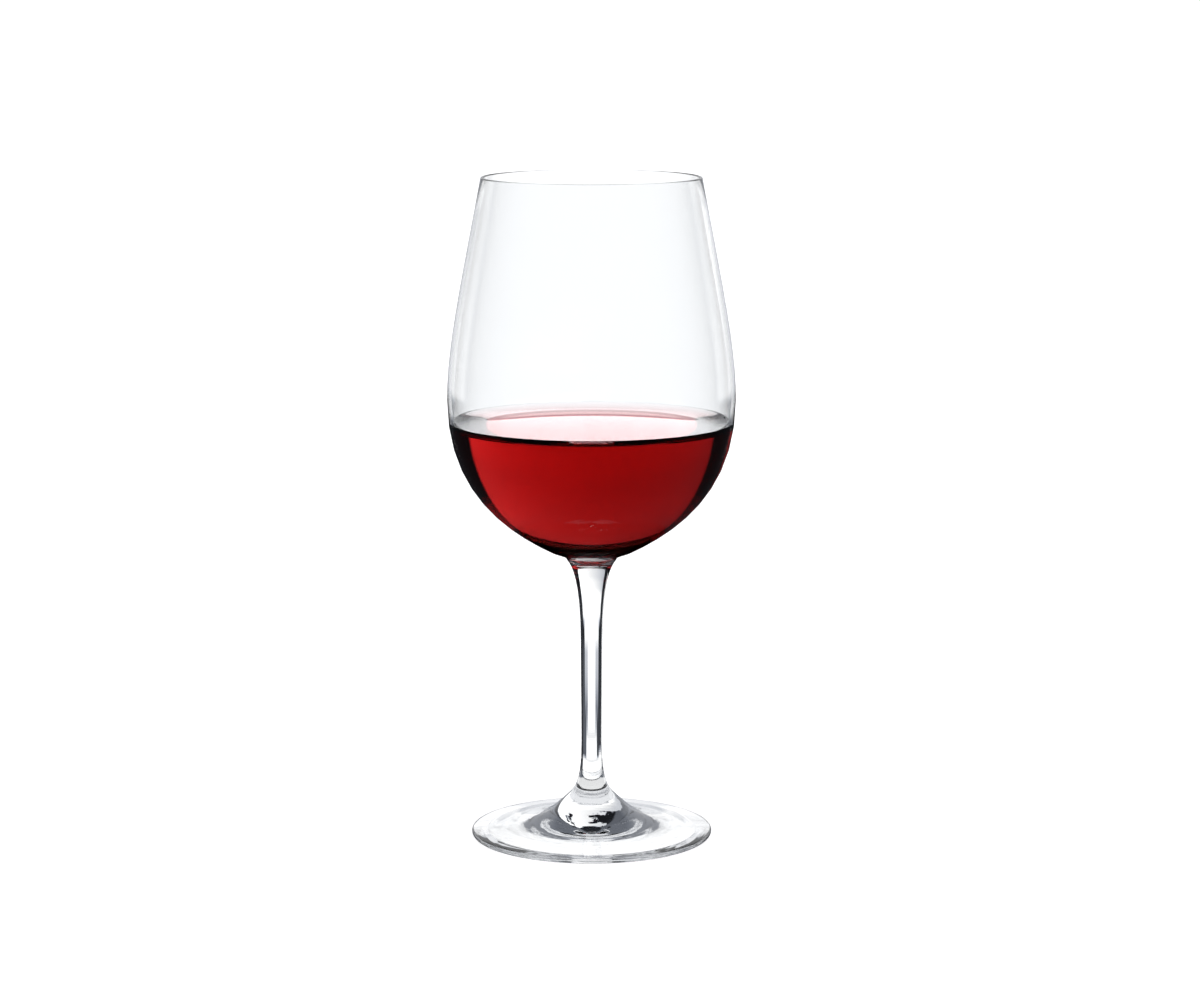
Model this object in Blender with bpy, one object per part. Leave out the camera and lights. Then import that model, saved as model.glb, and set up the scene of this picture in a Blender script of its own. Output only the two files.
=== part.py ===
"""A glass of red wine.

The glass is one piece of clear glass: a thin blown bowl, a drawn stem and a
round foot. A serving of red wine fills the lower part of the bowl.

Units are metres and +Z is up. The origin is the centre of the ring that the
foot stands on, so the glass rises from Z = 0 along the Z axis.

Each solid is turned: its outline is a line of cubic Bezier curves in (radius,
height), spun once round Z. A size that ends in REACH is how far a curve runs
on in its own direction before it bends, and a SLOPE is height over radius.
"""

import math

import bmesh
import bpy

# Outside of the bowl: widest part way up, drawn in to the rim, round below
HEIGHT = 0.225
RIM_RADIUS = 0.0371
RIM_FLARE_PER_HEIGHT = 0.19
RIM_REACH = 0.0375
WIDEST_RADIUS = 0.0486
WIDEST_HEIGHT = 0.1500
WIDEST_REACH_UP = 0.0180
WIDEST_REACH_DOWN = 0.0310
BASE_RADIUS = 0.0140
BASE_HEIGHT = 0.0983
BASE_SLOPE = 0.50
BASE_REACH = 0.0150

# Inside of the bowl: a thin wall that thickens towards the floor
LIP_WALL = 0.0010
SIDE_WALL = 0.0011
FLOOR_HEIGHT = 0.1003
FLOOR_REACH = 0.0230
INNER_REACH_DOWN = 0.0305

# Stem: a short flare under the bowl, then slender down to the foot
NECK_RADIUS = 0.0086
NECK_HEIGHT = 0.0959
NECK_REACH = 0.0013
STEM_TOP_RADIUS = 0.0037
STEM_TOP_HEIGHT = 0.0670
STEM_TOP_REACH = 0.0270
STEM_LOW_RADIUS = 0.0035
STEM_LOW_HEIGHT = 0.0325
STEM_LOW_REACH = 0.0160

# Foot: a cone under the stem, a flat disc with a rounded edge, a hollow underside
CONE_RADIUS = 0.0100
CONE_HEIGHT = 0.0118
CONE_SLOPE = 0.92
CONE_REACH = 0.0042
FOOT_RADIUS = 0.0413
FOOT_REACH = 0.0230
FOOT_EDGE_SLOPE = 0.08
FOOT_EDGE_HEIGHT = 0.0019
FOOT_EDGE_LOW_HEIGHT = 0.0006
FOOT_EDGE_ROUNDING = 0.0009
REST_RING_OUTER_RADIUS = 0.0405
REST_RING_INNER_RADIUS = 0.0355
HOLLOW_HEIGHT = 0.0030

# Wine: level in the middle, and drawn up the wall round its edge
WINE_LEVEL = 0.1403
MENISCUS_RISE = 0.0027
MENISCUS_FALL_OFF = 0.0022
MENISCUS_WIDTH = 0.0075
WINE_GAP = 0.0003

# Fineness of the turned shapes
SEGMENTS = 64
LIP_SPANS = 4
MENISCUS_SPANS = 4
SHARP_EDGE_ANGLE = math.radians(40.0)


def bezier(start, start_handle, end_handle, end, spans):
    """Points along a cubic Bezier curve in (radius, height), its start left out."""
    controls = (start, start_handle, end_handle, end)
    points = []
    for step in range(1, spans + 1):
        t = step / spans
        weights = ((1 - t) ** 3, 3 * t * (1 - t) ** 2, 3 * t * t * (1 - t), t ** 3)
        radius = sum(w * control[0] for w, control in zip(weights, controls))
        height = sum(w * control[1] for w, control in zip(weights, controls))
        points.append((radius, height))
    return points


def inner_bowl():
    """The inside of the bowl, from the middle of its floor up to the lip."""
    floor = (0.0, FLOOR_HEIGHT)
    widest = (WIDEST_RADIUS - SIDE_WALL, WIDEST_HEIGHT)
    lip = (RIM_RADIUS - LIP_WALL, HEIGHT - LIP_WALL / 2)
    points = [floor]
    points += bezier(
        floor,
        (FLOOR_REACH, FLOOR_HEIGHT),
        (widest[0], WIDEST_HEIGHT - INNER_REACH_DOWN),
        widest,
        spans=11,
    )
    points += bezier(
        widest,
        (widest[0], WIDEST_HEIGHT + WIDEST_REACH_UP),
        (lip[0] + RIM_FLARE_PER_HEIGHT * RIM_REACH, lip[1] - RIM_REACH),
        lip,
        spans=6,
    )
    return points


def lip_rounding():
    """The half-round lip, from the inside of the bowl to its outside."""
    centre_radius = RIM_RADIUS - LIP_WALL / 2
    centre_height = HEIGHT - LIP_WALL / 2
    points = []
    for step in range(1, LIP_SPANS + 1):
        angle = math.pi * (1 - step / LIP_SPANS)
        radius = centre_radius + LIP_WALL / 2 * math.cos(angle)
        height = centre_height + LIP_WALL / 2 * math.sin(angle)
        points.append((radius, height))
    return points


def outer_bowl():
    """The outside of the bowl, from just under the lip down to its base."""
    lip = (RIM_RADIUS, HEIGHT - LIP_WALL / 2)
    widest = (WIDEST_RADIUS, WIDEST_HEIGHT)
    base = (BASE_RADIUS, BASE_HEIGHT)
    points = bezier(
        lip,
        (lip[0] + RIM_FLARE_PER_HEIGHT * RIM_REACH, lip[1] - RIM_REACH),
        (WIDEST_RADIUS, WIDEST_HEIGHT + WIDEST_REACH_UP),
        widest,
        spans=6,
    )
    points += bezier(
        widest,
        (WIDEST_RADIUS, WIDEST_HEIGHT - WIDEST_REACH_DOWN),
        (BASE_RADIUS + BASE_REACH, BASE_HEIGHT + BASE_SLOPE * BASE_REACH),
        base,
        spans=11,
    )
    return points


def stem():
    """The stem, from the bowl's base down to the top of the foot."""
    base = (BASE_RADIUS, BASE_HEIGHT)
    neck = (NECK_RADIUS, NECK_HEIGHT)
    top = (STEM_TOP_RADIUS, STEM_TOP_HEIGHT)
    low = (STEM_LOW_RADIUS, STEM_LOW_HEIGHT)
    cone = (CONE_RADIUS, CONE_HEIGHT)
    turn = NECK_REACH / 2
    points = bezier(
        base,
        (BASE_RADIUS - turn, BASE_HEIGHT - BASE_SLOPE * turn),
        (NECK_RADIUS, NECK_HEIGHT + turn),
        neck,
        spans=2,
    )
    points += bezier(
        neck,
        (NECK_RADIUS, NECK_HEIGHT - NECK_REACH),
        (STEM_TOP_RADIUS, STEM_TOP_HEIGHT + STEM_TOP_REACH),
        top,
        spans=6,
    )
    points.append(low)
    points += bezier(
        low,
        (STEM_LOW_RADIUS, STEM_LOW_HEIGHT - STEM_LOW_REACH),
        (CONE_RADIUS - CONE_REACH, CONE_HEIGHT + CONE_SLOPE * CONE_REACH),
        cone,
        spans=6,
    )
    return points


def foot():
    """The foot, from its top over its rounded edge to the middle of its hollow underside."""
    cone = (CONE_RADIUS, CONE_HEIGHT)
    edge_top = (FOOT_RADIUS - FOOT_EDGE_ROUNDING, FOOT_EDGE_HEIGHT)
    ring_outer = (REST_RING_OUTER_RADIUS, 0.0)
    ring_inner = (REST_RING_INNER_RADIUS, 0.0)
    hollow = (0.0, HOLLOW_HEIGHT)
    points = bezier(
        cone,
        (CONE_RADIUS + CONE_REACH, CONE_HEIGHT - CONE_SLOPE * CONE_REACH),
        (edge_top[0] - FOOT_REACH, FOOT_EDGE_HEIGHT + FOOT_EDGE_SLOPE * FOOT_REACH),
        edge_top,
        spans=5,
    )
    points += bezier(
        edge_top,
        (FOOT_RADIUS, FOOT_EDGE_HEIGHT),
        (FOOT_RADIUS, FOOT_EDGE_LOW_HEIGHT),
        ring_outer,
        spans=3,
    )
    points.append(ring_inner)
    points += bezier(
        ring_inner,
        (REST_RING_INNER_RADIUS * 2 / 3, HOLLOW_HEIGHT),
        (REST_RING_INNER_RADIUS / 3, HOLLOW_HEIGHT),
        hollow,
        spans=3,
    )
    return points


def glass_profile():
    """The glass in one line: up its inside, over the lip and down its outside."""
    return inner_bowl() + lip_rounding() + outer_bowl() + stem() + foot()


def set_in(points, gap):
    """A line up the bowl's inside, moved away from the wall by the gap, square to the wall."""
    moved = []
    for index, (radius, height) in enumerate(points):
        before = points[max(index - 1, 0)]
        after = points[min(index + 1, len(points) - 1)]
        run = after[0] - before[0]
        rise = after[1] - before[1]
        length = math.hypot(run, rise)
        moved.append((radius - gap * rise / length, height + gap * run / length))
    moved[0] = (0.0, points[0][1] + gap)
    return moved


def wine_profile():
    """The wine in one line: out along its top to the wall, then down the wall to the floor."""
    wall = set_in(inner_bowl(), WINE_GAP)
    contact_height = WINE_LEVEL + MENISCUS_RISE
    below = [point for point in wall if point[1] < contact_height]
    last = below[-1]
    following = wall[len(below)]
    share = (contact_height - last[1]) / (following[1] - last[1])
    contact_radius = last[0] + share * (following[0] - last[0])
    top = [(0.0, WINE_LEVEL)]
    for step in range(MENISCUS_SPANS):
        from_wall = MENISCUS_WIDTH * (1 - step / MENISCUS_SPANS) ** 2
        rise = MENISCUS_RISE * math.exp(-from_wall / MENISCUS_FALL_OFF)
        top.append((contact_radius - from_wall, WINE_LEVEL + rise))
    top.append((contact_radius, contact_height))
    return top + below[::-1]


def turned(name, profile, material):
    """A solid of revolution, made by spinning a profile once round the Z axis."""
    bm = bmesh.new()
    verts = [bm.verts.new((radius, 0.0, height)) for radius, height in profile]
    edges = [bm.edges.new(pair) for pair in zip(verts, verts[1:])]
    bmesh.ops.spin(
        bm,
        geom=verts + edges,
        cent=(0.0, 0.0, 0.0),
        axis=(0.0, 0.0, 1.0),
        angle=2 * math.pi,
        steps=SEGMENTS,
    )
    bmesh.ops.remove_doubles(bm, verts=bm.verts, dist=1e-6)
    bmesh.ops.recalc_face_normals(bm, faces=bm.faces)
    mesh = bpy.data.meshes.new(name)
    bm.to_mesh(mesh)
    bm.free()
    mesh.shade_smooth()
    mesh.set_sharp_from_angle(angle=SHARP_EDGE_ANGLE)
    mesh.materials.append(material)
    solid = bpy.data.objects.new(name, mesh)
    bpy.context.scene.collection.objects.link(solid)
    return solid


def clear_material(name, color, roughness, ior):
    """A see-through Principled material."""
    material = bpy.data.materials.new(name)
    material.use_nodes = True
    shader = material.node_tree.nodes["Principled BSDF"]
    shader.inputs["Base Color"].default_value = (*color, 1.0)
    shader.inputs["Roughness"].default_value = roughness
    shader.inputs["Metallic"].default_value = 0.0
    shader.inputs["IOR"].default_value = ior
    shader.inputs["Transmission Weight"].default_value = 1.0
    return material


def main():
    """Clears the scene and builds the glass and the wine in it."""
    for old in list(bpy.data.objects):
        bpy.data.objects.remove(old, do_unlink=True)
    clear_glass = clear_material("clear_glass", (0.96, 0.97, 0.98), roughness=0.02, ior=1.5)
    red_wine = clear_material("red_wine", (0.30, 0.008, 0.012), roughness=0.03, ior=1.34)
    turned("glass", glass_profile(), clear_glass)
    turned("wine", wine_profile(), red_wine)


main()
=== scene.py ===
# %% [markdown]
# A glass of red wine, standing on a pale floor.
#
# The real thing is two things: one piece of clear glass, blown and drawn, and
# the wine that lies in it. Both are round about the same upright axis, so both
# are made the way a potter or a lathe would make them: half an outline, turned.
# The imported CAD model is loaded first, because it settles every size.

# %% Load the frame
import math

import bpy
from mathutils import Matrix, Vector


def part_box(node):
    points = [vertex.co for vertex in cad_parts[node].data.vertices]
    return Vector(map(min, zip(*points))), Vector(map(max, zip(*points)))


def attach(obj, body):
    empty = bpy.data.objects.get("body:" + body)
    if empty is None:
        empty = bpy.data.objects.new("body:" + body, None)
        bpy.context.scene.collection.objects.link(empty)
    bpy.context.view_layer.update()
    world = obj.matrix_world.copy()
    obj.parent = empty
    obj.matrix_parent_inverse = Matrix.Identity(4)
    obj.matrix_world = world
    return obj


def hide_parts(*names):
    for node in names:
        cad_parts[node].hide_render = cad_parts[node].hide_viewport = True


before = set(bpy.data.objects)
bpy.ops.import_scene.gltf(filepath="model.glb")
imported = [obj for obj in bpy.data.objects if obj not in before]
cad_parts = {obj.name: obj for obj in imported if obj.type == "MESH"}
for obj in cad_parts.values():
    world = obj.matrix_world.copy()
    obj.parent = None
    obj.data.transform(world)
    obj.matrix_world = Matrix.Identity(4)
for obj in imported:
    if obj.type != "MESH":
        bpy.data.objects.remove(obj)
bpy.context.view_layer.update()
glass_low, glass_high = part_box("glass")
wine_low, wine_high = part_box("wine")
print("glass:", [round(v * 1000, 1) for v in glass_high - glass_low], "mm")
print("wine from", round(wine_low.z * 1000, 1), "to", round(wine_high.z * 1000, 1), "mm")

# %% [markdown]
# The camera comes first, so that every later step can be judged through it.
# It looks slightly down, so the rim is a flat ellipse and the foot a rounder
# one. A long lens from a good metre away keeps the bowl's sides true.

# %% Place the camera
CAMERA_DISTANCE = 1.13
CAMERA_HEIGHT = 0.303
CAMERA_SIDE = 0.00286
CAMERA_PITCH = math.radians(-9.44)
CAMERA_LENS = 101.5
SENSOR_WIDTH = 36.0

camera_data = bpy.data.cameras.new("camera")
camera_data.lens = CAMERA_LENS
camera_data.sensor_width = SENSOR_WIDTH
camera = bpy.data.objects.new("camera", camera_data)
bpy.context.scene.collection.objects.link(camera)
camera.location = (CAMERA_SIDE, -CAMERA_DISTANCE, CAMERA_HEIGHT)
camera.rotation_euler = (math.radians(90) + CAMERA_PITCH, 0.0, 0.0)
bpy.context.scene.camera = camera
print("camera stands", CAMERA_DISTANCE, "m away")

# %% [markdown]
# Small helpers. Operators act on whatever is selected, so the first one clears
# the selection before a new piece is started. The second adds a node of any
# kind to the tree at work. What it is given in order fills the node's sockets:
# a number or a colour is set, and another node is joined to it. Colours are
# given as they are seen on a screen, and one function turns them to the linear
# values of a shader.

# %% Helpers
def deselect_all():
    """Leaves edit mode and selects nothing."""
    if bpy.context.object and bpy.context.object.mode != "OBJECT":
        bpy.ops.object.mode_set(mode="OBJECT")
    bpy.ops.object.select_all(action="DESELECT")


def add_node(kind, *inputs, **settings):
    """Adds a node to the tree at work.

    Inputs fill its sockets in order, and None leaves one alone. Settings are its
    properties, or sockets by name. A node given as an input is joined by its first output.
    """
    node = tree.nodes.new(kind)
    filled = list(zip(node.inputs, inputs))
    for name, value in settings.items():
        if hasattr(node, name):
            setattr(node, name, value)
        else:
            filled.append((node.inputs[name], value))
    for socket, value in filled:
        if isinstance(value, bpy.types.Node):
            value = value.outputs[0]
        if isinstance(value, bpy.types.NodeSocket):
            tree.links.new(value, socket)
        elif value is not None:
            socket.default_value = value
    return node


def linear(hex_colour):
    """An sRGB colour such as "#a01018" as the linear values that a shader takes."""
    channels = [int(hex_colour[i:i + 2], 16) / 255 for i in (1, 3, 5)]
    straightened = [
        c / 12.92 if c <= 0.04045 else ((c + 0.055) / 1.055) ** 2.4 for c in channels
    ]
    return straightened + [1.0]


def count_triangles(piece):
    """The number of triangles that a mesh piece has."""
    return sum(len(face.vertices) - 2 for face in piece.data.polygons)


print("red as the shader takes it:", [round(v, 3) for v in linear("#e80000")])

# %% [markdown]
# The outline of the glass. A Bezier curve needs only a point where the shape
# changes its mind: the floor of the bowl, its widest part, the lip, the neck,
# the slender stem, the foot's edge. Each point has two handles, which say how
# the line arrives and how it leaves. The CAD solid has the same sizes, so the
# turned piece lies exactly on it, only with many more facets, because clear
# glass shows every facet twice over.

# %% Sizes of the glass
HEIGHT = glass_high.z
WIDEST_RADIUS = glass_high.x
RIM_RADIUS = 0.0371
RIM_FLARE_PER_HEIGHT = 0.19
RIM_REACH = 0.0375
WIDEST_HEIGHT = 0.1500
WIDEST_REACH_UP = 0.0180
WIDEST_REACH_DOWN = 0.0310
BASE_RADIUS = 0.0140
BASE_HEIGHT = 0.0983
BASE_SLOPE = 0.50
BASE_REACH = 0.0150
LIP_WALL = 0.0010
SIDE_WALL = 0.0011
FLOOR_HEIGHT = 0.1003
FLOOR_REACH = 0.0230
INNER_REACH_DOWN = 0.0305
NECK_RADIUS = 0.0086
NECK_HEIGHT = 0.0959
NECK_REACH = 0.0013
STEM_TOP_RADIUS = 0.0037
STEM_TOP_HEIGHT = 0.0670
STEM_TOP_REACH = 0.0270
STEM_LOW_RADIUS = 0.0035
STEM_LOW_HEIGHT = 0.0325
STEM_LOW_REACH = 0.0160
CONE_RADIUS = 0.0100
CONE_HEIGHT = 0.0118
CONE_SLOPE = 0.92
CONE_REACH = 0.0042
FOOT_RADIUS = 0.0413
FOOT_REACH = 0.0230
FOOT_EDGE_SLOPE = 0.08
FOOT_EDGE_HEIGHT = 0.0019
FOOT_EDGE_LOW_HEIGHT = 0.0006
FOOT_EDGE_ROUNDING = 0.0009
REST_RING_OUTER_RADIUS = 0.0405
REST_RING_INNER_RADIUS = 0.0355
HOLLOW_HEIGHT = 0.0030
ROUND_HANDLE = 0.5523


def station(point, arrives=None, leaves=None):
    """A point of an outline with its two handles, all in (radius, height)."""
    return point, arrives or point, leaves or point


def beside(point, run, rise):
    """A place beside a point."""
    return point[0] + run, point[1] + rise


print("glass:", round(HEIGHT * 1000), "mm tall,", round(WIDEST_RADIUS * 2000, 1), "mm across")

# %% The bowl's own stations
floor_middle = (0.0, FLOOR_HEIGHT)
inner_widest = (WIDEST_RADIUS - SIDE_WALL, WIDEST_HEIGHT)
lip_half = LIP_WALL / 2
lip_handle = ROUND_HANDLE * lip_half
inner_lip = (RIM_RADIUS - LIP_WALL, HEIGHT - lip_half)
lip_top = (RIM_RADIUS - lip_half, HEIGHT)
outer_lip = (RIM_RADIUS, HEIGHT - lip_half)
rim_run = RIM_FLARE_PER_HEIGHT * RIM_REACH
outer_widest = (WIDEST_RADIUS, WIDEST_HEIGHT)
base = (BASE_RADIUS, BASE_HEIGHT)
turn = NECK_REACH / 2

inner_stations = [
    station(floor_middle, leaves=(FLOOR_REACH, FLOOR_HEIGHT)),
    station(
        inner_widest,
        beside(inner_widest, 0, -INNER_REACH_DOWN),
        beside(inner_widest, 0, WIDEST_REACH_UP),
    ),
    station(
        inner_lip,
        beside(inner_lip, rim_run, -RIM_REACH),
        beside(inner_lip, 0, lip_handle),
    ),
]
lip_stations = [
    station(lip_top, beside(lip_top, -lip_handle, 0), beside(lip_top, lip_handle, 0)),
    station(
        outer_lip,
        beside(outer_lip, 0, lip_handle),
        beside(outer_lip, rim_run, -RIM_REACH),
    ),
]
outer_stations = [
    station(
        outer_widest,
        beside(outer_widest, 0, WIDEST_REACH_UP),
        beside(outer_widest, 0, -WIDEST_REACH_DOWN),
    ),
    station(
        base,
        beside(base, BASE_REACH, BASE_SLOPE * BASE_REACH),
        beside(base, -turn, -BASE_SLOPE * turn),
    ),
]
print("bowl:", len(inner_stations + lip_stations + outer_stations), "points")

# %% The stem's and the foot's own stations
neck = (NECK_RADIUS, NECK_HEIGHT)
stem_top = (STEM_TOP_RADIUS, STEM_TOP_HEIGHT)
stem_low = (STEM_LOW_RADIUS, STEM_LOW_HEIGHT)
stem_third = (STEM_TOP_HEIGHT - STEM_LOW_HEIGHT) / 3
cone = (CONE_RADIUS, CONE_HEIGHT)
edge_top = (FOOT_RADIUS - FOOT_EDGE_ROUNDING, FOOT_EDGE_HEIGHT)
ring_outer = (REST_RING_OUTER_RADIUS, 0.0)
ring_inner = (REST_RING_INNER_RADIUS, 0.0)
hollow = (0.0, HOLLOW_HEIGHT)

stem_stations = [
    station(neck, beside(neck, 0, turn), beside(neck, 0, -NECK_REACH)),
    station(stem_top, beside(stem_top, 0, STEM_TOP_REACH), beside(stem_top, 0, -stem_third)),
    station(stem_low, beside(stem_low, 0, stem_third), beside(stem_low, 0, -STEM_LOW_REACH)),
    station(
        cone,
        beside(cone, -CONE_REACH, CONE_SLOPE * CONE_REACH),
        beside(cone, CONE_REACH, -CONE_SLOPE * CONE_REACH),
    ),
]
foot_stations = [
    station(
        edge_top,
        beside(edge_top, -FOOT_REACH, FOOT_EDGE_SLOPE * FOOT_REACH),
        (FOOT_RADIUS, FOOT_EDGE_HEIGHT),
    ),
    station(ring_outer, (FOOT_RADIUS, FOOT_EDGE_LOW_HEIGHT), ring_outer),
    station(ring_inner, ring_inner, (REST_RING_INNER_RADIUS * 2 / 3, HOLLOW_HEIGHT)),
    station(hollow, (REST_RING_INNER_RADIUS / 3, HOLLOW_HEIGHT)),
]
print("stem and foot:", len(stem_stations + foot_stations), "points")

# %% [markdown]
# Turning. The outline is drawn once as a curve, made a mesh of short edges and
# spun round the axis, as a lathe or a potter's wheel would do it. Where the
# spin ends on its own start, and where the outline meets the axis, points lie
# on each other and are merged, so that the solid is closed.

# %% Turn an outline into a solid
TURNS = 160
CURVE_STEPS = 10
MERGE_DISTANCE = 1e-6
SHARP_ANGLE = math.radians(50)


def turn_outline(name, stations):
    """Draws an outline as a Bezier curve in the XZ plane and spins it once round Z."""
    deselect_all()
    bpy.ops.curve.primitive_bezier_curve_add()
    piece = bpy.context.object
    piece.name = name
    spline = piece.data.splines[0]
    spline.bezier_points.add(len(stations) - len(spline.bezier_points))
    for knot, (point, arrives, leaves) in zip(spline.bezier_points, stations):
        knot.handle_left_type = knot.handle_right_type = "FREE"
        knot.co = (point[0], 0.0, point[1])
        knot.handle_left = (arrives[0], 0.0, arrives[1])
        knot.handle_right = (leaves[0], 0.0, leaves[1])
    piece.data.dimensions = "3D"
    piece.data.resolution_u = CURVE_STEPS
    bpy.ops.object.convert(target="MESH")
    bpy.ops.object.mode_set(mode="EDIT")
    bpy.ops.mesh.select_all(action="SELECT")
    bpy.ops.mesh.spin(steps=TURNS, angle=2 * math.pi, center=(0, 0, 0), axis=(0, 0, 1))
    bpy.ops.mesh.select_all(action="SELECT")
    bpy.ops.mesh.remove_doubles(threshold=MERGE_DISTANCE)
    bpy.ops.mesh.normals_make_consistent(inside=False)
    bpy.ops.object.mode_set(mode="OBJECT")
    piece.data.name = name
    return piece


bowl_stations = inner_stations + lip_stations + outer_stations
glass = turn_outline("wine_glass", bowl_stations + stem_stations + foot_stations)
bpy.ops.object.shade_smooth_by_angle(angle=SHARP_ANGLE)
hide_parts("glass")
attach(glass, "root")
print("glass:", count_triangles(glass), "triangles")

# %% [markdown]
# The wine. Liquid takes the shape of what holds it, so it starts as the inside
# of the bowl, turned from the same stations. It is then pushed a little way
# into the wall, because wine wets glass, and a gap of air between the two
# would shine like a mirror. A plane cuts it off at the height where it ends.

# %% Wine up to its edge
WALL_OVERLAP = 0.00025
CONTACT_HEIGHT = wine_high.z

wine = turn_outline("wine_fill", inner_stations)
bpy.ops.object.mode_set(mode="EDIT")
bpy.ops.mesh.select_all(action="SELECT")
bpy.ops.transform.shrink_fatten(value=WALL_OVERLAP)
bpy.ops.mesh.bisect(plane_co=(0, 0, CONTACT_HEIGHT), plane_no=(0, 0, 1), clear_outer=True)
bpy.ops.object.mode_set(mode="OBJECT")
edge_radius = max(math.hypot(v.co.x, v.co.y) for v in wine.data.vertices)
print("wine's edge radius:", round(edge_radius * 1000, 2), "mm")

# %% [markdown]
# The top of a real drink isn't flat to its edge. The liquid climbs the wall by
# two or three millimetres and falls away again within a few more, and that
# small curve is what draws the line round a glass of wine. It is made as by
# hand: the open edge is extruded inwards ring by ring, each ring scaled to its
# radius and set at its height, and the last ring is merged to one point.

# %% Rings of the wine's top
MENISCUS_RISE = 0.0027
MENISCUS_FALL_OFF = 0.0022
MENISCUS_WIDTH = 0.0140
MENISCUS_RINGS = 14
MENISCUS_CROWDING = 1.7
LEVEL_RINGS = 4


def top_height(from_wall):
    """Height of the wine's top at a distance from the wall."""
    fallen = 1 - math.exp(-max(from_wall, 0.0) / MENISCUS_FALL_OFF)
    return CONTACT_HEIGHT - MENISCUS_RISE * fallen


inside_radius = edge_radius - WALL_OVERLAP
level_radius = inside_radius - MENISCUS_WIDTH
shares = [(step / MENISCUS_RINGS) ** MENISCUS_CROWDING for step in range(MENISCUS_RINGS + 1)]
radii = [inside_radius - MENISCUS_WIDTH * share for share in shares]
radii += [level_radius * (1 - step / LEVEL_RINGS) for step in range(1, LEVEL_RINGS)]
heights = [top_height(inside_radius - radius) for radius in radii]
print("wine's top:", len(radii), "rings, level at", round(heights[-1] * 1000, 1), "mm")

# %% Close the wine with its top
def add_ring(radius, height, to_radius, to_height):
    """Extrudes the selected ring to a new radius and height."""
    rise = (0, 0, to_height - height)
    bpy.ops.mesh.extrude_edges_move(TRANSFORM_OT_translate={"value": rise})
    shrink = to_radius / radius
    bpy.ops.transform.resize(value=(shrink, shrink, 1), center_override=(0, 0, to_height))


bpy.ops.object.mode_set(mode="EDIT")
bpy.ops.mesh.select_all(action="DESELECT")
bpy.ops.object.mode_set(mode="OBJECT")
for vert in wine.data.vertices:
    vert.select = abs(vert.co.z - CONTACT_HEIGHT) < MERGE_DISTANCE
bpy.ops.object.mode_set(mode="EDIT")
bpy.context.tool_settings.mesh_select_mode = (True, False, False)
radius, height = edge_radius, CONTACT_HEIGHT
for to_radius, to_height in zip(radii, heights):
    add_ring(radius, height, to_radius, to_height)
    radius, height = to_radius, to_height
bpy.ops.mesh.merge(type="CENTER")
bpy.ops.mesh.select_all(action="SELECT")
bpy.ops.mesh.normals_make_consistent(inside=False)
bpy.ops.object.mode_set(mode="OBJECT")
bpy.ops.object.shade_smooth_by_angle(angle=SHARP_ANGLE)
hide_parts("wine")
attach(wine, "root")
print("wine:", count_triangles(wine), "triangles")

# %% [markdown]
# The glass itself: clear soda-lime or crystal glass, fire-polished, so its
# skin is as smooth as the liquid it once was. It has almost no colour of its
# own. What the eye sees is the room, bent: white where the light comes through
# from behind, dark where the curve turns the view to the dark sides.

# %% Glass finish
CLEAR_GLASS = linear("#fbfcfd")
GLASS_IOR = 1.50

clear_glass = bpy.data.materials.new("fire_polished_clear_glass")
clear_glass.use_nodes = True
tree = clear_glass.node_tree
shader = tree.nodes["Principled BSDF"]
shader.inputs["Base Color"].default_value = CLEAR_GLASS
shader.inputs["Roughness"].default_value = 0.0
shader.inputs["IOR"].default_value = GLASS_IOR
shader.inputs["Transmission Weight"].default_value = 1.0
glass.data.materials.clear()
glass.data.materials.append(clear_glass)
print("glass finish on", glass.name)

# %% [markdown]
# Fire-polished isn't quite even. The stem is drawn and the foot is pressed and
# spun while the glass is soft, and both keep very faint rings from that. They
# can't be seen as relief. They only make the reflections low on the glass waver,
# which is what tells the eye that it is real glass and no computed curve. So
# they are a bump of hundredths of a millimetre, a millimetre or so apart. The
# pattern follows the distance from the axis and the height, with a slow drift
# round the glass, and it fades out up the stem, because the bowl is blown and
# much smoother.

# %% Ring ripples low on the glass
RIPPLE_SPACING = 0.0014
RIPPLE_HEIGHT = 0.00002
RIPPLE_DRIFT = 90
RIPPLES_FULL_BELOW = 0.016
RIPPLES_FADED_ABOVE = 0.045
FADED_STRENGTH = 0.02

MATH = "ShaderNodeMath"
VECTOR_MATH = "ShaderNodeVectorMath"
MAP_RANGE = "ShaderNodeMapRange"
NOISE = "ShaderNodeTexNoise"

drift = (RIPPLE_DRIFT, RIPPLE_DRIFT, RIPPLE_DRIFT)
place = add_node("ShaderNodeTexCoord").outputs["Object"]
upright = add_node("ShaderNodeSeparateXYZ", place).outputs["Z"]
flat = add_node(VECTOR_MATH, place, (1, 1, 0), operation="MULTIPLY")
from_axis = add_node(VECTOR_MATH, flat, operation="LENGTH").outputs["Value"]
along = add_node("ShaderNodeCombineXYZ", from_axis, upright)
spaced = add_node(VECTOR_MATH, along, operation="SCALE", Scale=1 / RIPPLE_SPACING)
drifting = add_node(VECTOR_MATH, place, drift, spaced, operation="MULTIPLY_ADD")
ripples = add_node(NOISE, drifting, Scale=1.0, Detail=1.0)
low_down = add_node(
    MAP_RANGE, upright, RIPPLES_FULL_BELOW, RIPPLES_FADED_ABOVE, 1.0, FADED_STRENGTH
)
relief = add_node(MATH, ripples, low_down, operation="MULTIPLY")
bump = add_node("ShaderNodeBump", Distance=RIPPLE_HEIGHT, Height=relief)
tree.links.new(bump.outputs[0], shader.inputs["Normal"])
print("ripples", round(RIPPLE_SPACING * 1000, 1), "mm apart")

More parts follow.
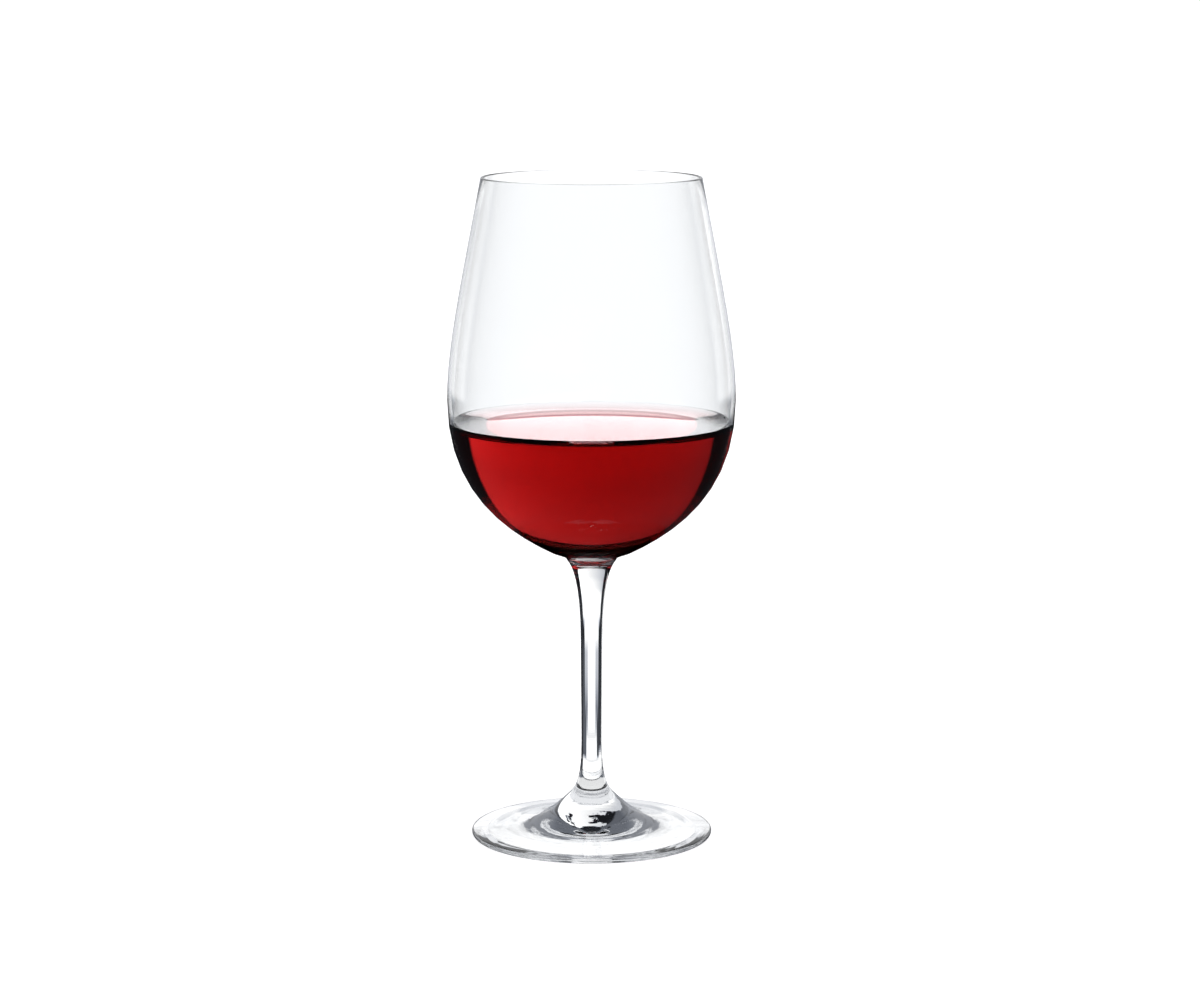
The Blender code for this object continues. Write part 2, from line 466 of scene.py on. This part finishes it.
# %% [markdown]
# Red wine is clear too, but it swallows light as it passes: green and blue
# within a few millimetres, red only slowly. So the colour isn't painted on its
# surface. It is given to the volume, and the deep middle of the bowl turns
# out darker than the thin edge by itself. Where wine wets glass, the boundary
# mirrors next to nothing. The renderer can't know that the two touch, so the
# wine's own mirroring is turned off with a black specular tint.

# %% Wine finish
WINE_IOR = 1.34
WINE_COLOUR = linear("#e80000")
WINE_DENSITY = 68.0

red_wine = bpy.data.materials.new("red_wine")
red_wine.use_nodes = True
tree = red_wine.node_tree
shader = tree.nodes["Principled BSDF"]
shader.inputs["Base Color"].default_value = linear("#ffffff")
shader.inputs["Roughness"].default_value = 0.0
shader.inputs["IOR"].default_value = WINE_IOR
shader.inputs["Specular Tint"].default_value = linear("#000000")
shader.inputs["Transmission Weight"].default_value = 1.0
absorb = add_node("ShaderNodeVolumeAbsorption", WINE_COLOUR, WINE_DENSITY)
tree.links.new(absorb.outputs["Volume"], tree.nodes["Material Output"].inputs["Volume"])
wine.data.materials.clear()
wine.data.materials.append(red_wine)
print("wine finish on", wine.name)

# %% [markdown]
# The floor: a plain pale sheet of paper, wide enough to run out of the view. It
# glows a little by itself, so that it melts into the white behind it. The glass
# doesn't bend or mirror it, because the light for that is set place by place in
# the surroundings, further down.

# %% Floor
FLOOR_SIZE = 12.0
PAPER_ROUGHNESS = 0.8
PAPER_GLOW = 0.65

deselect_all()
bpy.ops.mesh.primitive_plane_add(size=FLOOR_SIZE, location=(0, 0, 0))
floor = bpy.context.object
floor.name = "pale_floor"
pale = bpy.data.materials.new("pale_paper")
pale.use_nodes = True
shader = pale.node_tree.nodes["Principled BSDF"]
shader.inputs["Base Color"].default_value = linear("#f6f6f6")
shader.inputs["Roughness"].default_value = PAPER_ROUGHNESS
shader.inputs["Emission Color"].default_value = linear("#ffffff")
shader.inputs["Emission Strength"].default_value = PAPER_GLOW
floor.data.materials.append(pale)
floor.visible_transmission = False
floor.visible_glossy = False
print("floor:", FLOOR_SIZE, "m wide")

# %% [markdown]
# One place of the table does show through the glass: the white paper right
# under the foot, which the cone in the foot's middle gathers like a lens. It is
# a small lit disc just below the floor's level. The camera can't see it, and it
# lights nothing but the foot: it glows only for light that was mirrored at most
# once, crossed at most two surfaces and left the glass close by.

# %% Lit paper under the foot
LIT_RADIUS = 0.018
LIT_DEPTH = 0.0005
LIT_REACH = 0.05
LIT_ONCE = 0.85
LIT_STRAIGHT = 1.24
ROUND_SIDES = 64

deselect_all()
bpy.ops.mesh.primitive_circle_add(
    vertices=ROUND_SIDES, radius=LIT_RADIUS, fill_type="NGON", location=(0, 0, -LIT_DEPTH)
)
under_foot = bpy.context.object
under_foot.name = "lit_paper_under_the_foot"
lit_paper = bpy.data.materials.new("lit_paper")
lit_paper.use_nodes = True
tree = lit_paper.node_tree
shader = tree.nodes["Principled BSDF"]
shader.inputs["Base Color"].default_value = linear("#000000")
shader.inputs["Roughness"].default_value = 1.0
shader.inputs["Emission Color"].default_value = linear("#ffffff")
under_foot.data.materials.append(lit_paper)
under_foot.visible_camera = False
under_foot.visible_diffuse = False
under_foot.visible_shadow = False
print("lit paper:", round(LIT_RADIUS * 2000), "mm across")

# %% Glow of the lit paper
light_path = add_node("ShaderNodeLightPath").outputs
straight = add_node(MATH, light_path["Glossy Depth"], 0.5, operation="LESS_THAN")
once = add_node(MATH, light_path["Glossy Depth"], 1.5, operation="LESS_THAN")
few = add_node(MATH, light_path["Transmission Depth"], 2.5, operation="LESS_THAN")
close_by = add_node(MATH, light_path["Ray Length"], LIT_REACH, operation="LESS_THAN")
glow = add_node(MATH, straight, LIT_STRAIGHT - LIT_ONCE, LIT_ONCE, operation="MULTIPLY_ADD")
for limit in (once, few, close_by):
    glow = add_node(MATH, glow, limit, operation="MULTIPLY")
tree.links.new(glow.outputs[0], shader.inputs["Emission Strength"])
print("lit paper glows", LIT_STRAIGHT, "straight and", LIT_ONCE, "mirrored")

# %% [markdown]
# The underside of the bowl would mirror that lit disc as a pale spot in the
# wine. A photographer keeps such an image off with a black card, and here it is
# a ring of card round the neck, which only mirrored light meets.

# %% Black card under the bowl
CARD_HEIGHT = 0.092
CARD_OUTER_RADIUS = 0.034
CARD_INNER_RADIUS = 0.009

deselect_all()
bpy.ops.mesh.primitive_circle_add(
    vertices=ROUND_SIDES, radius=CARD_OUTER_RADIUS, location=(0, 0, CARD_HEIGHT)
)
card = bpy.context.object
card.name = "black_card_under_the_bowl"
bpy.ops.object.mode_set(mode="EDIT")
bpy.ops.mesh.select_all(action="SELECT")
add_ring(CARD_OUTER_RADIUS, CARD_HEIGHT, CARD_INNER_RADIUS, CARD_HEIGHT)
bpy.ops.object.mode_set(mode="OBJECT")
black = bpy.data.materials.new("black_card")
black.use_nodes = True
shader = black.node_tree.nodes["Principled BSDF"]
shader.inputs["Base Color"].default_value = linear("#000000")
shader.inputs["Roughness"].default_value = 1.0
shader.inputs["Specular IOR Level"].default_value = 0.0
card.data.materials.append(black)
card.visible_camera = False
card.visible_diffuse = False
card.visible_transmission = False
card.visible_shadow = False
print("card:", len(card.data.polygons), "faces")

# %% [markdown]
# Light. Clear glass shows only what stands round it, so the light is built as
# surroundings and not as lamps. A studio would hang one wide bright sheet
# behind the glass and leave the sides dark: this is called a bright field. The
# middle of every piece is then white, and its edges, where the curve bends the
# view to the side, are drawn in black. Each place of the surroundings is given
# by two angles in degrees: round from straight behind, and up from level.

# %% Angles of the surroundings
world = bpy.data.worlds.new("studio")
bpy.context.scene.world = world
world.use_nodes = True
tree = world.node_tree
tree.nodes.clear()
direction = add_node("ShaderNodeTexCoord").outputs["Generated"]
axes = add_node("ShaderNodeSeparateXYZ", direction).outputs
round_turn = add_node(MATH, axes["X"], axes["Y"], operation="ARCTAN2")
round_angle = add_node(MATH, round_turn, operation="DEGREES")
up_turn = add_node(MATH, axes["Z"], operation="ARCSINE")
up_angle = add_node(MATH, up_turn, operation="DEGREES")
print("angles joined")

# %% [markdown]
# One tool draws everything in the surroundings: a patch, which is 1 inside its
# limits and 0 outside, with soft edges. A patch that is wider than the whole
# room has no sides, so it is also how light fades in above or below an angle.
# All its limits are in degrees.

# %% Patches of the surroundings
ALL_ROUND = 200
ALL_UP = 200


def patch(centre, half_width, low, high, soft=2.0, across=round_angle, up=up_angle):
    """A patch of the surroundings: 1 inside it, 0 outside, with soft edges."""
    smooth = {"interpolation_type": "SMOOTHSTEP"}
    offset = add_node(MATH, across, centre, operation="SUBTRACT")
    wrapped = add_node(MATH, offset, 180.0, -180.0, operation="WRAP")
    away = add_node(MATH, wrapped, operation="ABSOLUTE")
    near = add_node(MAP_RANGE, away, half_width - soft, half_width + soft, 1.0, 0.0, **smooth)
    above = add_node(MAP_RANGE, up, low - soft, low + soft, **smooth)
    too_high = add_node(MAP_RANGE, up, high - soft, high + soft, **smooth)
    between = add_node(MATH, above, too_high, operation="SUBTRACT")
    return add_node(MATH, near, between, operation="MULTIPLY")


def brightest(start, patches):
    """Lays patches over a start value, the brightest of them showing."""
    total = start
    for centre, half_width, low, high, strength in patches:
        layer = patch(centre, half_width, low, high)
        layer = add_node(MATH, layer, strength, operation="MULTIPLY")
        total = add_node(MATH, total, layer, operation="MAXIMUM")
    return total


print("patches ready")

# %% [markdown]
# The sheet behind the glass. It is brightest at the height of the table, grows
# dimmer upwards, and its left end is dimmer than its right. Its outline isn't a
# plain square: each part of it was set so that the dark line which it leaves on
# the bowl, the wine or the stem has the width that the photograph shows.

# %% Sheet behind the glass
BRIGHT = 1.24
UPPER_LOSS = 0.2
RIGHT_GAIN = 0.0146
SHEET_SOFTNESS = 1.5
SHEET_PARTS = [
    # centre, half width, lowest, highest
    (0, 36.5, -8.3, 41),
    (0, 29, -11.8, 0),
    (0, 15, -14, -10),
    (0, 22, -19, -13),
    (0, 45, -70, -18),
]

outline = 0.0
for centre, half_width, low, high in SHEET_PARTS:
    part = patch(centre, half_width, low, high, SHEET_SOFTNESS)
    outline = add_node(MATH, outline, part, operation="MAXIMUM")
over_the_table = patch(0, ALL_ROUND, -1, ALL_UP)
slant = add_node(MATH, round_angle, RIGHT_GAIN, operation="MULTIPLY")
slant = add_node(MATH, slant, over_the_table, operation="MULTIPLY")
uneven = add_node(MATH, slant, operation="EXPONENT")
upper = patch(0, ALL_ROUND, 4.5, ALL_UP, 4.5)
dimmed = add_node(MATH, upper, -UPPER_LOSS, 1.0, operation="MULTIPLY_ADD")
sheet = add_node(MATH, outline, BRIGHT, operation="MULTIPLY")
for share in (uneven, dimmed):
    sheet = add_node(MATH, sheet, share, operation="MULTIPLY")
print("sheet in", len(SHEET_PARTS), "parts")

# %% [markdown]
# The rest of the room: almost black beside the sheet, slate grey towards the
# camera's side, a bright light at the left and one behind the camera at the
# right, which the curved glass bends into view as thin bright lines, and the
# white table, which the foot and the stem see from below.

# %% Sides, table and lights
DARK = 0.012
SLATE = 0.26
LIGHTS = [
    # centre, half width, lowest, highest, strength
    (-85, 25, -22, 41, BRIGHT),
    (135, 38, -28, 41, BRIGHT),
]
SIDES = [
    # centre, half width, lowest, highest, strength
    (29, 16, -19, -11.6, 0.13),
    (-30, 15, -19, -11.6, 0.05),
    (180, 102, -90, 90, SLATE),
    (-23, 62, -70, -22, BRIGHT),
    (-46, 13, -25, -16.5, BRIGHT),
]

lights = brightest(sheet, LIGHTS)
room = add_node(MATH, lights, DARK, operation="MAXIMUM")
all_round = brightest(room, SIDES)
print("patches:", len(LIGHTS) + len(SIDES))

# %% [markdown]
# What is mirrored is set apart from what is seen through. A photographer does
# the same with cards and screens, each of which shows in one surface only. Here
# each path of light is sorted by two counts: how often it was mirrored, and how
# many surfaces it crossed. Five kinds of path come out of that:
#
# - not mirrored: seen straight through, which the patches above light
# - mirrored by the outside: gloss on the bowl, and on top of the foot
# - mirrored once within the glass: the cone in the foot, the stem
# - thrown to and fro within the glass: the rings in the foot, the glass's edges
# - mirrored after crossing the whole wall: the wine's top, the bowl's far side
#
# The next cells say what each of the last four sees, and a later one sorts them.

# %% [markdown]
# The outside of the bowl mirrors the sheet as a soft sheen, stronger low down.
# Right behind the glass it is held back, because there the gloss lies on the
# bowl's very edge, where it would wash out the dark line of the outline. Below
# the table's line it mirrors a dark room.

# %% What the outside mirrors
SHEEN_PARTS = [
    # centre, half width, lowest, highest, softness, strength
    (0, 60, -90, 41, 6, 0.85),
    (0, 60, -90, 5, 4, 0.85),
]
EDGE_LOSS = 1.1
MIRRORED_DARK = 0.02

right_behind = patch(0, 33, -100, 100, 10)
low_part = patch(0, ALL_ROUND, -100, 4.5, 1.5)
on_the_edge = add_node(MATH, right_behind, low_part, operation="MULTIPLY")
glare = add_node(MATH, on_the_edge, -EDGE_LOSS, operation="MULTIPLY")
for *limits, amount in SHEEN_PARTS:
    glare = add_node(MATH, patch(*limits), amount, glare, operation="MULTIPLY_ADD")
over_the_dark = patch(0, ALL_ROUND, -7, ALL_UP, 1)
glare = add_node(MATH, glare, over_the_dark, operation="MULTIPLY")
seen_by_outside = add_node(MATH, glare, MIRRORED_DARK, operation="MAXIMUM")
print("outside sheen in", len(SHEEN_PARTS), "parts")

# %% [markdown]
# Inside the foot the light meets the sheet again, upside down. The real foot
# was worked by hand, so its cone shows the sheet with ragged dark spots. They
# come from three dark places in the sheet, whose outlines a noise makes ragged.

# %% What the inside mirrors
WAVE_SCALE = 6.5
WAVE_DETAIL = 3.0
WAVE_ROUGHNESS = 0.55
RAGGED_DEGREES_ACROSS = 50.0
RAGGED_DEGREES_UP = 24.0
SPOT_SOFTNESS = 0.7
SPOTS = [
    # centre, half width, lowest, highest
    (-12, 12, 13, 29),
    (23, 6, 17, 25),
    (-39, 17, 11, 60),
]
SEEN_INSIDE = [
    # centre, half width, lowest, highest, strength
    (180, 135, -100, 50, SLATE),
    (29, 16, -19, -11.6, 0.13),
    (-39, 17, 11, 45, 0.13),
]

waves = add_node(
    NOISE, direction, Scale=WAVE_SCALE, Detail=WAVE_DETAIL, Roughness=WAVE_ROUGHNESS
)
ragged = add_node(MATH, waves, 0.5, operation="SUBTRACT")
ragged_across = add_node(
    MATH, ragged, RAGGED_DEGREES_ACROSS, round_angle, operation="MULTIPLY_ADD"
)
ragged_upward = add_node(MATH, ragged, RAGGED_DEGREES_UP, up_angle, operation="MULTIPLY_ADD")
spotted = add_node(MATH, sheet, patch(0, ALL_ROUND, -15, ALL_UP), operation="MULTIPLY")
for centre, half_width, low, high in SPOTS:
    spot = patch(centre, half_width, low, high, SPOT_SOFTNESS, ragged_across, ragged_upward)
    clear = add_node(MATH, 1.0, spot, operation="SUBTRACT")
    spotted = add_node(MATH, spotted, clear, operation="MULTIPLY")
spotted = add_node(MATH, spotted, DARK, operation="MAXIMUM")
seen_by_inside = brightest(spotted, SEEN_INSIDE)
print("dark spots in the foot's cone:", len(SPOTS))

# %% [markdown]
# Light that is thrown to and fro leaves the glass in every direction. It draws
# the pale and slate rings of the foot, and fills the wall at the bowl's edge.
# That edge looks nearly level and straight back, where the light is held back
# so that the outline stays dark.

# %% What is thrown to and fro
THROWN = 0.88
THROWN_LOSS = 0.6
THROWN_SLATE = 0.17

held_back = patch(0, 48, -10, 4, 3)
let_out = add_node(MATH, held_back, -THROWN_LOSS, 1.0, operation="MULTIPLY_ADD")
thrown = patch(0, 62, -95, 95, 3, ragged_across)
for share in (THROWN, let_out):
    thrown = add_node(MATH, thrown, share, operation="MULTIPLY")
seen_to_and_fro = add_node(MATH, thrown, THROWN_SLATE, operation="MAXIMUM")
print("thrown light:", THROWN, "and", THROWN_SLATE)

# %% [markdown]
# The wine's top is seen at a low angle, where even wine mirrors well. It shows
# the brightest part of the sheet, so that it looks almost white.

# %% What the wine's top mirrors
MIRRORED_TOP_GAIN = 1.6
LOW_STRIPS = [
    # centre, half width, lowest, highest, strength
    (0, 18, -18, -12, BRIGHT),
    (0, 18, -12, 6, 0.4),
]

lift = add_node(MATH, patch(0, 30, 4, 41), MIRRORED_TOP_GAIN, 1.0, operation="MULTIPLY_ADD")
high_lights = lights
for share in (lift, patch(0, ALL_ROUND, 3, 41)):
    high_lights = add_node(MATH, high_lights, share, operation="MULTIPLY")
seen_by_wine_top = brightest(high_lights, LOW_STRIPS)
print("wine's top mirrors", round(BRIGHT * (1 + MIRRORED_TOP_GAIN), 2), "at its brightest")

# %% [markdown]
# Now the paths are sorted by four questions, each a Mix node: was the light
# mirrored at all, did it cross any surface, did it cross the whole wall, and was
# it mirrored more than once? The floor, which scatters light, also gets a wide
# soft ceiling light, as in any white studio.

# %% All kinds of path together
CEILING = 1.5
MIX = "ShaderNodeMix"

path_kind = add_node("ShaderNodeLightPath").outputs
mirrorings = path_kind["Glossy Depth"]
crossings = path_kind["Transmission Depth"]
mirrored = add_node(MATH, mirrorings, 0.5, operation="GREATER_THAN")
mirrored_again = add_node(MATH, mirrorings, 1.5, operation="GREATER_THAN")
crossed = add_node(MATH, crossings, 0.5, operation="GREATER_THAN")
crossed_wall = add_node(MATH, crossings, 2.5, operation="GREATER_THAN")

seen_within = add_node(MIX, mirrored_again, None, seen_by_inside, seen_to_and_fro)
seen_beyond = add_node(MIX, crossed_wall, None, seen_within, seen_by_wine_top)
seen_mirrored = add_node(MIX, crossed, None, seen_by_outside, seen_beyond)
strength = add_node(MIX, mirrored, None, all_round, seen_mirrored)

scattered = add_node(MATH, path_kind["Diffuse Depth"], 0.5, operation="GREATER_THAN")
ceiling = patch(0, ALL_ROUND, 60, 120)
for share in (scattered, CEILING):
    ceiling = add_node(MATH, ceiling, share, operation="MULTIPLY")
strength = add_node(MATH, strength, ceiling, operation="MAXIMUM")
print("ceiling light for the floor:", CEILING)

# %% [markdown]
# Where the surroundings are dim they are also a little blue, as daylight from
# the side is, which gives clear glass its cool grey. The camera itself sees a
# plain white. Thick glass passes light on by mirroring it many times, and each
# time counts as a bounce, so the limits are raised: with the usual four glossy
# bounces the foot's rings would turn black.

# %% Colour of the surroundings
BACKGROUND = 1.1
BLUE_GREY = (0.86, 0.94, 1.12)

to_white = tuple(1.0 - channel for channel in BLUE_GREY)
full = add_node(MATH, strength, 1.0, operation="MINIMUM")
tint = add_node(VECTOR_MATH, full, to_white, BLUE_GREY, operation="MULTIPLY_ADD")
shown = add_node(MIX, path_kind["Is Camera Ray"], None, strength, BACKGROUND)
background = add_node("ShaderNodeBackground", tint, shown)
add_node("ShaderNodeOutputWorld", background)
bpy.context.scene.view_settings.view_transform = "Standard"
bpy.context.scene.cycles.transmission_bounces = 16
bpy.context.scene.cycles.glossy_bounces = 16
bpy.context.scene.cycles.max_bounces = 24
print("studio ready")
